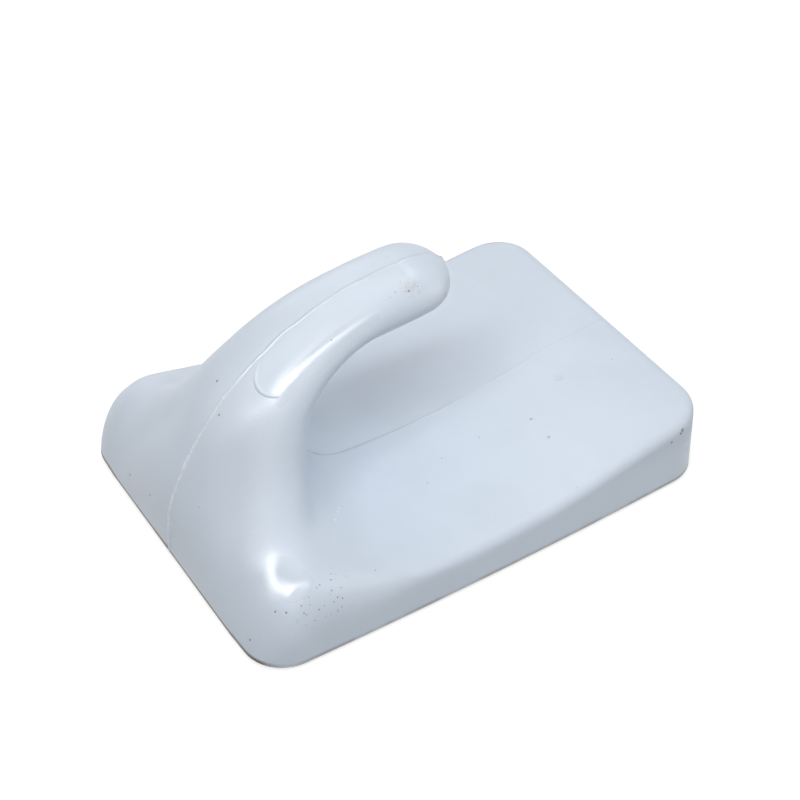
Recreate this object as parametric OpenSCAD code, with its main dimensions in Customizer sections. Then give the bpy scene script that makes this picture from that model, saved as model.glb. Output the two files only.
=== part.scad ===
// Self-adhesive wall hook lying on its back: a plate, a curved finger and a foam mounting pad.
// Units are millimetres. The wall face is z = 0, the finger reaches up in z and its tip points to +y.

/* [Plate] */
// Length of the plate, from the root end to the top end
plate_l = 60; // [48:1:80]
// Width of the plate at the root end
plate_w_root = 44; // [36:0.5:56]
// Width of the plate at the top end
plate_w_top = 42; // [34:0.5:54]
// Outward bow of each long side at mid length
side_bow = 0.6; // [0:0.1:1.5]
// Corner radius of the plate in plan
corner_r = 5; // [3:0.5:8]
// Draft angle of the long sides
side_draft = 3; // [0:0.5:5]
// Thickness of the plate at its thinnest, in the dish
plate_t = 4.7; // [4:0.1:7]
// Thickness of the plate at the top end
top_t = 9.3; // [7:0.1:12]
// Rounding of the plate's upper edges
edge_round = 2.2; // [1:0.1:3.5]

/* [Shoulders] */
// Height of the shoulders beside the root of the finger
shoulder_z = 9.4; // [8:0.1:12]
// Rounding of the shoulders
shoulder_round = 5.9; // [4:0.1:8]
// Radius of the sweep from the dish up to the shoulders
rise_r = 24.5; // [18:0.5:34]

/* [Finger] */
// Diameter of the throat between the plate and the finger
throat_d = 17.4; // [14:0.5:22]
// Thickness of the finger over the throat
finger_t = 6.5; // [5:0.1:8]
// Width of the finger
finger_w = 10; // [8:0.1:14]
// Widening of each side of the finger towards its root
root_flare = 6.4; // [3:0.1:8]
// Blend between the finger's root and the plate
root_blend = 6.9; // [4:0.1:9]
// Overhang of the tip past the middle of the plate
tip_over = 6; // [3:0.1:9]
// Length of the rounded tip
tip_len = 5; // [4:0.1:7]
// Rise of the finger's underside towards the tip
tip_lift = 1.8; // [0:0.1:2.4]

/* [Mounting pad] */
// Distance from the plate's edge to the foam pad
pad_inset = 4; // [3.5:0.1:6]
// Corner radius of the foam pad
pad_r = 4; // [2:0.5:6]
// Thickness of the foam
foam_t = 0.8; // [0.6:0.1:1.6]
// Thickness of each adhesive film
film_t = 0.1; // [0.08:0.01:0.2]
// Thickness of the release liner
liner_t = 0.12; // [0.08:0.01:0.2]
// Width of the liner past the pad on every side
liner_over = 0.8; // [0.4:0.1:1.2]
// Width of the liner's finger tab
tab_w = 14; // [10:0.5:20]
// Depth of the pad's recess in the back of the plate
recess_d = 0.6; // [0.4:0.1:0.9]
// Clearance round the pad in its recess
pad_gap = 0.5; // [0.3:0.1:1]

/* [Hidden] */
$fn = 64;
half_l = plate_l / 2;
throat_r = throat_d / 2;
throat_y = -0.09 * plate_l;
throat_z = plate_t + throat_r;
reach = plate_t + throat_d + finger_t;
back_y = 0.01 * plate_l;
back_a = half_l + back_y;
dish_mid = 0.1 * plate_l;
dish_arc = 0.133 * plate_l;
dish_slope = (top_t - plate_t) / (half_l - dish_mid);
rise_y = -0.09 * plate_l;
shoulder_y = -0.353 * plate_l;
shoulder_fall = 4 / plate_l;
tip_y = tip_over - tip_len;
top_blend = 2.5;
flare_at = 106;
flare_span = 30;
stack_t = liner_t + 2 * film_t + foam_t;
rim_z = stack_t - recess_d;
pad_w = min(plate_w_root, plate_w_top) - 2 * pad_inset;
pad_l = plate_l - 2 * pad_inset;
recess_x = pad_w / 2 + pad_gap;
recess_y = pad_l / 2 + pad_gap;
wall_lean = 0.3;
rim_w = half_l - recess_y - wall_lean;
end_gap = 0.02;
inner_n = 26;
outer_n = 8;

// Smooth minimum and maximum of two distances, blended over k
function smin(a, b, k) = let (h = max(k - abs(a - b), 0) / k) min(a, b) - h * h * k / 4;
function smax(a, b, k) = -smin(-a, -b, k);
function mix(a, b, t) = a + (b - a) * t;
function ease(a, b, x) = let (t = min(1, max(0, (x - a) / (b - a)))) t * t * (3 - 2 * t);

// Height of the dish along the plate: flat, then an arc, then a straight rise to the top end
function dish_z(y) =
    let (a = dish_mid - dish_arc)
    plate_t + (y < a ? 0
        : y < dish_mid + dish_arc ? dish_slope * pow(y - a, 2) / (4 * dish_arc)
        : dish_slope * (y - dish_mid));

// Half width of the plate along its length
function half_w(y) =
    mix(plate_w_root, plate_w_top, y / plate_l + 0.5) / 2 + side_bow * (1 - pow(y / half_l, 2));

// Distance to the plate's outline, with drafted sides
function f_plan(x, y, z) =
    let (a = abs(x) - half_w(y) + corner_r + z * tan(side_draft), b = abs(y) - half_l + corner_r)
    norm([max(a, 0), max(b, 0)]) + min(max(a, b), 0) - corner_r;

// Distance to the plate's upper face, with its sweep up to the shoulders and their fall behind
function f_top(y, z) =
    smax(z - dish_z(y) - pow(max(rise_y - y, 0), 2) / (2 * rise_r),
        z - shoulder_z + shoulder_fall * pow(max(shoulder_y - y, 0), 2), top_blend);

// Quarter ellipse of the finger's back: height over y, set-back over z and distance along a bearing
function back_z(y) = reach * sqrt(max(1 - pow((y - back_y) / back_a, 2), 0.01));
function back_x(z) = back_a * sqrt(max(1 - pow(z / reach, 2), 0)) - back_y;
function back_r(b) =
    let (
        s = [-sin(b) / back_a, -cos(b) / reach],
        c = [(throat_y - back_y) / back_a, throat_z / reach],
        h = s * c
    )
    (-h + sqrt(h * h - (s * s) * (c * c - 1))) / (s * s);

// Underside of the finger from the throat to the tip
function under_z(y) = throat_z + throat_r + tip_lift * pow((y - throat_y) / (tip_over - throat_y), 2);

// Place across the finger: distance, inner face, outer face and bearing round the throat
function band(y, z) =
    let (dy = y - throat_y, dz = z - throat_z)
    dz < 0 ? [-y, throat_r - throat_y, back_x(z), 90 + atan(dz / throat_r)]
        : dy >= 0 ? [z, under_z(y), back_z(y), 180]
        : let (b = atan2(-dy, -dz)) [norm([dy, dz]), throat_r, back_r(b), b];

// Distance to the finger, an oval section that widens towards its root
function f_finger(x, y, z) =
    let (
        g = band(y, z),
        h = (g[2] - g[1]) / 2,
        u = (g[0] - g[1]) / h - 1,
        t = max(y - tip_y, 0) / tip_len,
        w = finger_w / 2 + root_flare / (1 + exp((g[3] - flare_at) / flare_span)),
        a = w * (1 - 0.3 * min(t * t, 1))
    )
    (norm([x / a, u, pow(t, 1.6)]) - 1) * min(a, h);

function f_back(y, z) =
    y < back_y ? (norm([(y - back_y) / back_a, z / reach]) - 1) * reach : -reach;

// Distance to the whole moulding above its rim
function f_body(p) =
    let (
        x = p[0],
        y = p[1],
        z = p[2],
        plan = f_plan(x, y, z),
        k = mix(edge_round, shoulder_round, ease(0.13 * plate_l, 0.37 * plate_l, -y)),
        block = smax(plan, f_top(y, z), k),
        whole = smin(block, f_finger(x, y, z), root_blend),
        kb = 0.05 + 0.2 * min(max(z, 0), 5)
    )
    smax(max(whole, plan), f_back(y, z) - kb / 4, kb);

// Way from p along d to the surface, as a share of d
function cut(p, d, lo, hi, n = 20) =
    let (m = (lo + hi) / 2)
    n == 0 ? m : f_body(p + m * d) < 0 ? cut(p, d, m, hi, n - 1) : cut(p, d, lo, m, n - 1);

// Sections: centre, foot or back point, inward direction, on the foot, edge sampling, inner limit
function plate_station(y) = [[0, y, 0.55 * dish_z(y)], [0, y, 0], [0, 0, 1], true, 1, throat_z];
function foot_station(y) =
    let (
        d = [0, throat_y - y, throat_z],
        e = d / norm(d),
        o = [0, y, 0],
        r = norm(d) - throat_r
    )
    [o + 0.45 * r * e, o, e, true, 1, 0.45 * r + throat_r];
function turn_station(b) =
    let (
        e = [0, sin(b), cos(b)],
        o = [0, throat_y, throat_z] - back_r(b) * e,
        r = back_r(b) - throat_r
    )
    [o + 0.45 * r * e, o, e, false, 1 - ease(62, 115, b), 0.45 * r + throat_r];
function finger_station(y) =
    [[0, y, (back_z(y) + under_z(y)) / 2], [0, y, back_z(y)], [0, 0, -1], false, 0, finger_t];

root_b = atan2(half_l + throat_y, throat_z);
stations = [
    for (d = [0.01, 0.08, 0.22, 0.44, 0.72, 1]) plate_station(half_l - d * rim_w),
    for (d = [0, 1.2, 3]) plate_station(recess_y - d),
    for (i = [0:8]) plate_station(mix(recess_y - 5, throat_y, i / 9)),
    for (i = [0:9]) foot_station(mix(throat_y, -recess_y + 1.5, i / 9)),
    for (y = [recess_y, recess_y + wall_lean]) foot_station(-y),
    for (a = [20, 35, 50, 65, 78, 90]) foot_station(-half_l + max(1.1 * rim_w * (1 - sin(a)), end_gap)),
    for (b = [1, 2.5, 4.5, 6.5, 9, 11.5, 14, 16.5, 19, 21.5, 24, 27, 30, 34]) turn_station(root_b + b),
    for (b = [101, 107, 114, 122, 131, 141, 151, 161, 171, 180]) turn_station(b),
    for (i = [1:3]) finger_station(mix(throat_y, tip_y, i / 3)),
    for (a = [15, 30, 45, 58, 70, 80]) finger_station(tip_y + tip_len * sin(a)),
];

// Angle at which the inner run of a section ends, at its foot corner or on the back
function foot_x(o) = 40 * cut(o, [40, 0, 0], 0, 1);
function end_angle(s) =
    let (w = cut(s[0], [40, 0, 0], 0, 1) * 40, h = cut(s[0], s[5] * s[2], 0, 1) * s[5])
    atan2(foot_x(s[1]) / w, -norm(s[1] - s[0]) / h);
root_end = end_angle(foot_station(end_gap - half_l));

// Bottom run of a section that stands on the rim, stepping up into the pad's recess
function foot_point(s, xe, j) =
    let (
        y = s[1][1],
        in = abs(y) < recess_y + 0.01,
        x1 = min(recess_x + wall_lean, xe - 1),
        x2 = min(recess_x, xe - 1.5)
    )
    j == 0 ? [xe, y, 0]
        : j == 1 ? [x1, y, 0]
        : [x2 * (outer_n - j) / (outer_n - 2), y, in ? recess_d : 0];

// Half of a section from the inner face round to the foot or the back
function half_ring(s) =
    let (
        w = cut(s[0], [40, 0, 0], 0, 1) * 40,
        h = cut(s[0], s[5] * s[2], 0, 1) * s[5],
        xe = foot_x([0, s[1][1], 0]),
        a1 = s[3] ? atan2(xe / w, -norm(s[1] - s[0]) / h) : mix(125, root_end, pow(s[4], 2))
    )
    [for (j = [0:inner_n + outer_n])
        let (
            t = j / inner_n,
            edge = lookup(t, [[0, 0], [0.15, 34], [0.45, 60], [0.62, a1 - 32], [1, a1]]),
            a = t <= 1 ? mix(a1 * t, edge, s[4]) : mix(a1, 180, (j - inner_n) / outer_n),
            d = [w * sin(a), 0, 0] + h * cos(a) * s[2],
            q = s[0] + cut(s[0], d, 0, 1.7) * d,
            mid = j == 0 || j == inner_n + outer_n
        )
        s[3] && j >= inner_n ? foot_point(s, xe, j - inner_n) : [mid ? 0 : q[0], q[1], q[2]]];

module hook_body() {
    halves = [for (s = stations) half_ring(s)];
    m = inner_n + outer_n;
    ring_n = 2 * m;
    last = len(stations) - 1;
    points = [
        for (i = [0:last])
            for (j = [0:ring_n - 1])
                let (
                    p = halves[i][j <= m ? j : ring_n - j],
                    y = i == 0 ? half_l : p[1] < 0 ? p[1] * half_l / (half_l - end_gap) : p[1]
                )
                [j <= m ? p[0] : -p[0], y, p[2] + rim_z],
        [0, half_l, top_t / 2 + rim_z],
        [0, tip_over, (back_z(tip_over) + under_z(tip_over)) / 2 + rim_z]
    ];
    far_end = len(points) - 2;
    faces = [
        for (j = [0:ring_n - 1]) [far_end, (j + 1) % ring_n, j],
        for (j = [0:ring_n - 1]) [far_end + 1, last * ring_n + j, last * ring_n + (j + 1) % ring_n],
        for (i = [0:last - 1])
            for (j = [0:ring_n - 1])
                let (a = i * ring_n + j, b = i * ring_n + (j + 1) % ring_n, c = b + ring_n, d = a + ring_n)
                each j < m ? [[a, b, c], [a, c, d]] : [[a, b, d], [b, c, d]]
    ];
    color([0.93, 0.94, 0.97]) polyhedron(points, faces, convexity = 6);
}

module rounded(w, l, r) {
    square([w - 2 * r, l], center = true);
    square([w, l - 2 * r], center = true);
    for (x = [-1, 1])
        for (y = [-1, 1])
            translate([x * (w / 2 - r), y * (l / 2 - r)]) circle(r);
}

module film_hook() {
    color([0.9, 0.9, 0.86])
        translate([0, 0, liner_t + film_t + foam_t])
            linear_extrude(film_t) rounded(pad_w, pad_l, pad_r);
}

module foam_core() {
    color([0.95, 0.95, 0.92])
        translate([0, 0, liner_t + film_t])
            linear_extrude(foam_t) rounded(pad_w, pad_l, pad_r);
}

module film_wall() {
    color([0.9, 0.9, 0.86])
        translate([0, 0, liner_t])
            linear_extrude(film_t) rounded(pad_w, pad_l, pad_r);
}

module release_liner() {
    liner_l = pad_l + 2 * liner_over;
    tab_out = half_l - 0.6 - liner_l / 2;
    color([0.86, 0.78, 0.6])
        linear_extrude(liner_t) {
            rounded(pad_w + 2 * liner_over, liner_l, pad_r + liner_over);
            translate([-tab_w / 2, 0]) square([tab_w, liner_l / 2 + tab_out]);
        }
}

hook_body();
film_hook();
foam_core();
film_wall();
release_liner();
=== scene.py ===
"""A self-adhesive wall hook lying on its back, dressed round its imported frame.

The moulding is a smooth mesh laid on its solid's blended form, with a crisper edge, a leg
on each side of the finger, the mould's parting flash, a witness mark and a pad recess.
The foam pad, its two adhesive films and the release liner lie under it. Lengths are
millimetres until a mesh is made.
"""
import logging
import math
from dataclasses import dataclass, field
from enum import Enum
from functools import cached_property
from typing import Any, Iterable, Sequence

import bmesh
import bpy
import numpy as np
from mathutils import Matrix, Vector


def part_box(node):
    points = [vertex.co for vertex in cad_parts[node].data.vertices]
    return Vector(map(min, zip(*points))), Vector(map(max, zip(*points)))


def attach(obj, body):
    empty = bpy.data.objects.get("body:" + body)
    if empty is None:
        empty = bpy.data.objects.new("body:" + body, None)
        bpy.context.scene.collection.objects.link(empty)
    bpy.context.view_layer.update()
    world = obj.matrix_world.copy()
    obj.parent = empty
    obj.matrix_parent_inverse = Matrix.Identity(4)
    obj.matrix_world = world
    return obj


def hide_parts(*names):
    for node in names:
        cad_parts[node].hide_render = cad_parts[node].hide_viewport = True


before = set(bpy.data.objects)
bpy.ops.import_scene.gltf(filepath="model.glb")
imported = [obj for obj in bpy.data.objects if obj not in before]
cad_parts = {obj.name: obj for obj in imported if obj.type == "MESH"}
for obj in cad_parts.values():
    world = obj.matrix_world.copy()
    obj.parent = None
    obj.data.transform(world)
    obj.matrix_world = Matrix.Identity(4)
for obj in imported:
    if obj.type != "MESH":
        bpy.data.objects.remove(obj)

LOG = logging.getLogger("wall_hook")
MM = 0.001
LEAST_CORNER_R = 0.1
Array = np.ndarray
Colour = tuple[float, float, float, float]
Point = tuple[float, float, float]
Span = tuple[float, float]


class Body(Enum):
    """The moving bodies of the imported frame."""

    HOOK = "hook"
    LINER = "liner"


class Slot(Enum):
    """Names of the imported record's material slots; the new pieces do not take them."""

    MOULDING = "moulding"
    FOAM = "foam"
    LINER = "liner"


def smooth_min(a: Array, b: Array, k: Array | float) -> Array:
    """Return the lower of two distances, blended over k."""
    share = np.maximum(k - np.abs(a - b), 0) / k
    return np.minimum(a, b) - share * share * k / 4


def smooth_max(a: Array, b: Array, k: Array | float) -> Array:
    """Return the higher of two distances, blended over k."""
    return -smooth_min(-a, -b, k)


def ease(low: float, high: float, x: Array) -> Array:
    """Return 0 below low, 1 above high and a smooth rise between them."""
    t = np.clip((x - low) / (high - low), 0, 1)
    return t * t * (3 - 2 * t)


def node_box(node: str) -> tuple[Vector, Vector]:
    """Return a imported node's lowest and highest corner in millimetres."""
    low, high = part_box(node)
    return Vector(low) / MM, Vector(high) / MM


@dataclass(frozen=True)
class RoundedOutline:
    """A rectangle with round corners, about the origin."""

    width: float
    length: float
    radius: float

    def inset(self, by: float) -> "RoundedOutline":
        """Return the outline drawn in by a distance."""
        radius = max(self.radius - by, LEAST_CORNER_R)
        return RoundedOutline(self.width - 2 * by, self.length - 2 * by, radius)

    def point(self, at: Vector) -> Vector:
        """Return the place on the outline that a point beside it moves to, at its height."""
        corner_x, corner_y = self.width / 2 - self.radius, self.length / 2 - self.radius
        out = Vector((max(abs(at.x) - corner_x, 0), max(abs(at.y) - corner_y, 0)))
        hold = Vector((min(abs(at.x), corner_x), min(abs(at.y), corner_y)))
        place = hold + out.normalized() * self.radius
        return Vector((math.copysign(place.x, at.x), math.copysign(place.y, at.y), at.z))

    def round_off(self, at: Vector) -> Vector:
        """Return a point of the square-cornered sheet pressed into the round-cornered one."""
        r = self.radius
        corner_x, corner_y = self.width / 2 - r, self.length / 2 - r
        u, v = max(abs(at.x) - corner_x, 0) / r, max(abs(at.y) - corner_y, 0) / r
        x = min(abs(at.x), corner_x) + r * u * math.sqrt(1 - v * v / 2)
        y = min(abs(at.y), corner_y) + r * v * math.sqrt(1 - u * u / 2)
        return Vector((math.copysign(x, at.x), math.copysign(y, at.y), at.z))


@dataclass(frozen=True)
class Section:
    """One section of the moulding, in the plane of its inward direction and the x axis.

    Attributes:
        centre: Point inside the section from which its rays start.
        foot: Point on the rim or on the back, below the centre.
        inward: Unit direction from the foot to the throat.
        on_rim: True where the section stands on the rim.
        edge: Share of the points that is kept for the plate's edge.
        limit: Longest way from the centre along the inward direction.
    """

    centre: Array
    foot: Array
    inward: Array
    on_rim: bool
    edge: float
    limit: float


@dataclass(frozen=True)
class HookForm:
    """The moulding's outer form, as a field that is negative inside it.

    Heights are above the plate's rim, y runs along the plate and x across it. Places that
    end in _at, and the spans of the dish and of the shoulders, are shares of the plate's length.

    Attributes:
        plate_l: Length of the plate.
        reach: Height of the finger over the rim.
        plate_w_root: Width of the plate at its root end.
        plate_w_top: Width of the plate at its top end.
        side_bow: How far the plate's sides bow out.
        corner_r: Radius of the plate's corners.
        side_draft: Draft of the plate's sides, in degrees.
        plate_t: Height of the dish at its lowest.
        top_t: Height of the dish at the top end.
        dish_at: Middle of the arc with which the dish starts to rise.
        dish_arc: Half length of that arc.
        edge_round: Blend of the plate's edge.
        shoulder_z: Height of the shoulders.
        shoulder_at: Place from which the shoulders fall to the root end.
        shoulder_fall: How fast they fall.
        shoulder_round: Blend of the shoulders' edge.
        round_span: Span, towards the root, over which the one blend turns into the other.
        rise_at: Place at which the dish sweeps up to the shoulders.
        rise_r: Radius of that sweep.
        top_blend: Blend of the sweep into the shoulders.
        throat_d: Diameter of the throat.
        throat_at: Place of the throat's centre.
        back_at: Place of the centre of the finger's back.
        back_soft: Least blend of the finger's back into the sides.
        back_soft_rise: How fast that blend grows with height.
        back_soft_z: Height up to which it grows.
        finger_w: Width of the finger.
        root_flare: How far the finger widens on each side at its root.
        root_blend: Blend of the finger into the plate.
        flare_at: Bearing round the throat, in degrees, at which half of that width is gained.
        flare_span: Bearing over which the finger widens.
        tip_over: Place of the tip's end.
        tip_len: Length of the rounded tip.
        tip_lift: How far the finger's underside rises to the tip.
        tip_narrow: Share of its width that the tip loses.
        tip_power: Bluntness of the tip.
        leg_top: Upper end of the leg, on the finger's flank.
        leg_foot: Lower end of the leg, on the shoulder.
        leg_r: Radius of the leg.
        leg_blend: Blend of the leg into the rest.
    """

    plate_l: float
    reach: float
    plate_w_root: float = 44.0
    plate_w_top: float = 42.0
    side_bow: float = 0.6
    corner_r: float = 5.0
    side_draft: float = 3.0
    plate_t: float = 4.7
    top_t: float = 9.3
    dish_at: float = 0.1
    dish_arc: float = 0.133
    edge_round: float = 1.4
    shoulder_z: float = 9.4
    shoulder_at: float = -0.353
    shoulder_fall: float = 4.0
    shoulder_round: float = 5.9
    round_span: Span = (0.13, 0.37)
    rise_at: float = -0.09
    rise_r: float = 24.5
    top_blend: float = 2.5
    throat_d: float = 17.4
    throat_at: float = -0.09
    back_at: float = 0.01
    back_soft: float = 0.05
    back_soft_rise: float = 0.2
    back_soft_z: float = 5.0
    finger_w: float = 10.0
    root_flare: float = 6.4
    root_blend: float = 6.9
    flare_at: float = 106.0
    flare_span: float = 30.0
    tip_over: float = 6.0
    tip_len: float = 5.0
    tip_lift: float = 1.8
    tip_narrow: float = 0.3
    tip_power: float = 3.2
    leg_top: Point = (3.28, -17.82, 17.0)
    leg_foot: Point = (13.04, -23.62, 5.6)
    leg_r: float = 3.3
    leg_blend: float = 2.0

    @property
    def half_l(self) -> float:
        """Half of the plate's length."""
        return self.plate_l / 2

    @property
    def throat_r(self) -> float:
        """Radius of the throat."""
        return self.throat_d / 2

    @property
    def throat_y(self) -> float:
        """Place of the throat's centre along the plate."""
        return self.throat_at * self.plate_l

    @property
    def throat_z(self) -> float:
        """Height of the throat's centre."""
        return self.plate_t + self.throat_r

    @property
    def back_y(self) -> float:
        """Centre of the quarter ellipse of the finger's back."""
        return self.back_at * self.plate_l

    @property
    def back_a(self) -> float:
        """Half length of the quarter ellipse of the finger's back."""
        return self.half_l + self.back_y

    @property
    def tip_y(self) -> float:
        """Place at which the rounded tip starts."""
        return self.tip_over - self.tip_len

    @property
    def across(self) -> Array:
        """A ray across the plate, longer than its half width."""
        return np.array([self.plate_l, 0, 0])

    def dish_z(self, y: Array) -> Array:
        """Return the height of the dish along the plate: flat, an arc, a straight rise."""
        middle, arc = self.dish_at * self.plate_l, self.dish_arc * self.plate_l
        slope = (self.top_t - self.plate_t) / (self.half_l - middle)
        bend = slope * (y - middle + arc) ** 2 / (4 * arc)
        rise = np.where(y < middle + arc, bend, slope * (y - middle))
        return self.plate_t + np.where(y < middle - arc, 0, rise)

    def half_w(self, y: Array) -> Array:
        """Return the plate's half width along its length."""
        share = y / self.plate_l + 0.5
        width = self.plate_w_root + (self.plate_w_top - self.plate_w_root) * share
        return width / 2 + self.side_bow * (1 - (y / self.half_l) ** 2)

    def plan(self, x: Array, y: Array, z: Array) -> Array:
        """Return the distance to the plate's outline, with its drafted sides."""
        lean = z * math.tan(math.radians(self.side_draft))
        a = np.abs(x) - self.half_w(y) + self.corner_r + lean
        b = np.abs(y) - self.half_l + self.corner_r
        outside = np.hypot(np.maximum(a, 0), np.maximum(b, 0))
        return outside + np.minimum(np.maximum(a, b), 0) - self.corner_r

    def top(self, y: Array, z: Array) -> Array:
        """Return the distance to the upper face, with its sweep up to the shoulders."""
        rise_y, shoulder_y = self.rise_at * self.plate_l, self.shoulder_at * self.plate_l
        sweep = np.maximum(rise_y - y, 0) ** 2 / (2 * self.rise_r)
        fall = self.shoulder_fall / self.plate_l * np.maximum(shoulder_y - y, 0) ** 2
        return smooth_max(z - self.dish_z(y) - sweep, z - self.shoulder_z + fall, self.top_blend)

    def back_z(self, y: Array) -> Array:
        """Return the height of the finger's back, which stays over the rim past its ends."""
        least = 0.01
        return self.reach * np.sqrt(np.maximum(1 - ((y - self.back_y) / self.back_a) ** 2, least))

    def back_r(self, bearing: Array) -> Array:
        """Return the way from the throat's centre to the back along a bearing in degrees."""
        b = np.radians(bearing)
        sy, sz = -np.sin(b) / self.back_a, -np.cos(b) / self.reach
        cy, cz = (self.throat_y - self.back_y) / self.back_a, self.throat_z / self.reach
        h, s = sy * cy + sz * cz, sy * sy + sz * sz
        return (-h + np.sqrt(h * h - s * (cy * cy + cz * cz - 1))) / s

    def under_z(self, y: Array) -> Array:
        """Return the height of the finger's underside."""
        share = (y - self.throat_y) / (self.tip_over - self.throat_y)
        return self.throat_z + self.throat_r + self.tip_lift * share**2

    def finger(self, x: Array, y: Array, z: Array) -> Array:
        """Return the distance to the finger, an oval section that widens to its root."""
        dy, dz = y - self.throat_y, z - self.throat_z
        post, slab = dz < 0, (dz >= 0) & (dy >= 0)
        radial = np.degrees(np.arctan2(-dy, -dz))
        low = 90 + np.degrees(np.arctan(dz / self.throat_r))
        bearing = np.where(post, low, np.where(slab, 180, radial))
        back_x = self.back_a * np.sqrt(np.maximum(1 - (z / self.reach) ** 2, 0)) - self.back_y
        any_bearing = 135.0
        ray_r = self.back_r(np.where(post | slab, any_bearing, radial))
        at = np.where(post, -y, np.where(slab, z, np.hypot(dy, dz)))
        roof = np.where(slab, self.under_z(y), self.throat_r)
        inner = np.where(post, self.throat_r - self.throat_y, roof)
        outer = np.where(post, back_x, np.where(slab, self.back_z(y), ray_r))
        half = (outer - inner) / 2
        t = np.maximum(y - self.tip_y, 0) / self.tip_len
        flare = self.root_flare / (1 + np.exp((bearing - self.flare_at) / self.flare_span))
        wide = (self.finger_w / 2 + flare) * (1 - self.tip_narrow * np.minimum(t * t, 1))
        across = (at - inner) / half - 1
        oval = np.sqrt((x / wide) ** 2 + across**2 + t**self.tip_power)
        return (oval - 1) * np.minimum(wide, half)

    def leg(self, x: Array, y: Array, z: Array) -> Array:
        """Return the distance to the leg from the finger's flank to the shoulder on each side."""
        top, foot = np.array(self.leg_top), np.array(self.leg_foot)
        from_top = np.stack([np.abs(x), y, z], axis=-1) - top
        way = foot - top
        share = np.clip(from_top @ way / (way @ way), 0, 1)
        return np.linalg.norm(from_top - share[..., None] * way, axis=-1) - self.leg_r

    def value(self, p: Array) -> Array:
        """Return the field of the whole moulding at points of shape (..., 3)."""
        x, y, z = p[..., 0], p[..., 1], p[..., 2]
        plan = self.plan(x, y, z)
        first, last = self.round_span
        shoulder = ease(first * self.plate_l, last * self.plate_l, -y)
        k = self.edge_round + (self.shoulder_round - self.edge_round) * shoulder
        block = smooth_max(plan, self.top(y, z), k)
        body = smooth_min(block, self.finger(x, y, z), self.root_blend)
        whole = np.maximum(smooth_min(body, self.leg(x, y, z), self.leg_blend), plan)
        ellipse = np.hypot((y - self.back_y) / self.back_a, z / self.reach)
        back = np.where(y < self.back_y, (ellipse - 1) * self.reach, -self.reach)
        soft = self.back_soft + self.back_soft_rise * np.clip(z, 0, self.back_soft_z)
        return smooth_max(whole, back - soft / 4, soft)

    def normal(self, p: Array, step: float = 0.01) -> Array:
        """Return unit normals at points of the surface, from differences over a step."""
        sides = [self.value(p + step * axis) - self.value(p - step * axis) for axis in np.eye(3)]
        gradient = np.stack(sides, axis=-1)
        length, tiny = np.linalg.norm(gradient, axis=-1, keepdims=True), 1e-9
        return gradient / np.maximum(length, tiny)

    def cut(self, start: Array, way: Array, far: Array | float = 1.0, steps: int = 26) -> Array:
        """Find the surface along rays by halving.

        Args:
            start: Points inside the moulding.
            way: Ray of each point.
            far: Longest way, as a share of the ray.
            steps: Number of halvings.

        Returns:
            The share of each ray at which it leaves the moulding.
        """
        low = np.zeros(np.broadcast_shapes(start.shape, way.shape)[:-1])
        high = low + far
        for _ in range(steps):
            middle = (low + high) / 2
            inside = self.value(start + middle[..., None] * way) < 0
            low, high = np.where(inside, middle, low), np.where(inside, high, middle)
        return (low + high) / 2


@dataclass(frozen=True)
class Wave:
    """A sine wave along a line.

    Attributes:
        pace: Radians that it turns in a unit of length.
        start: Angle at which it starts.
    """

    pace: float
    start: float = 0.0

    def at(self, run: Array) -> Array:
        """Return the wave's height, from -1 to 1."""
        return np.sin(self.pace * run + self.start)


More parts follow.
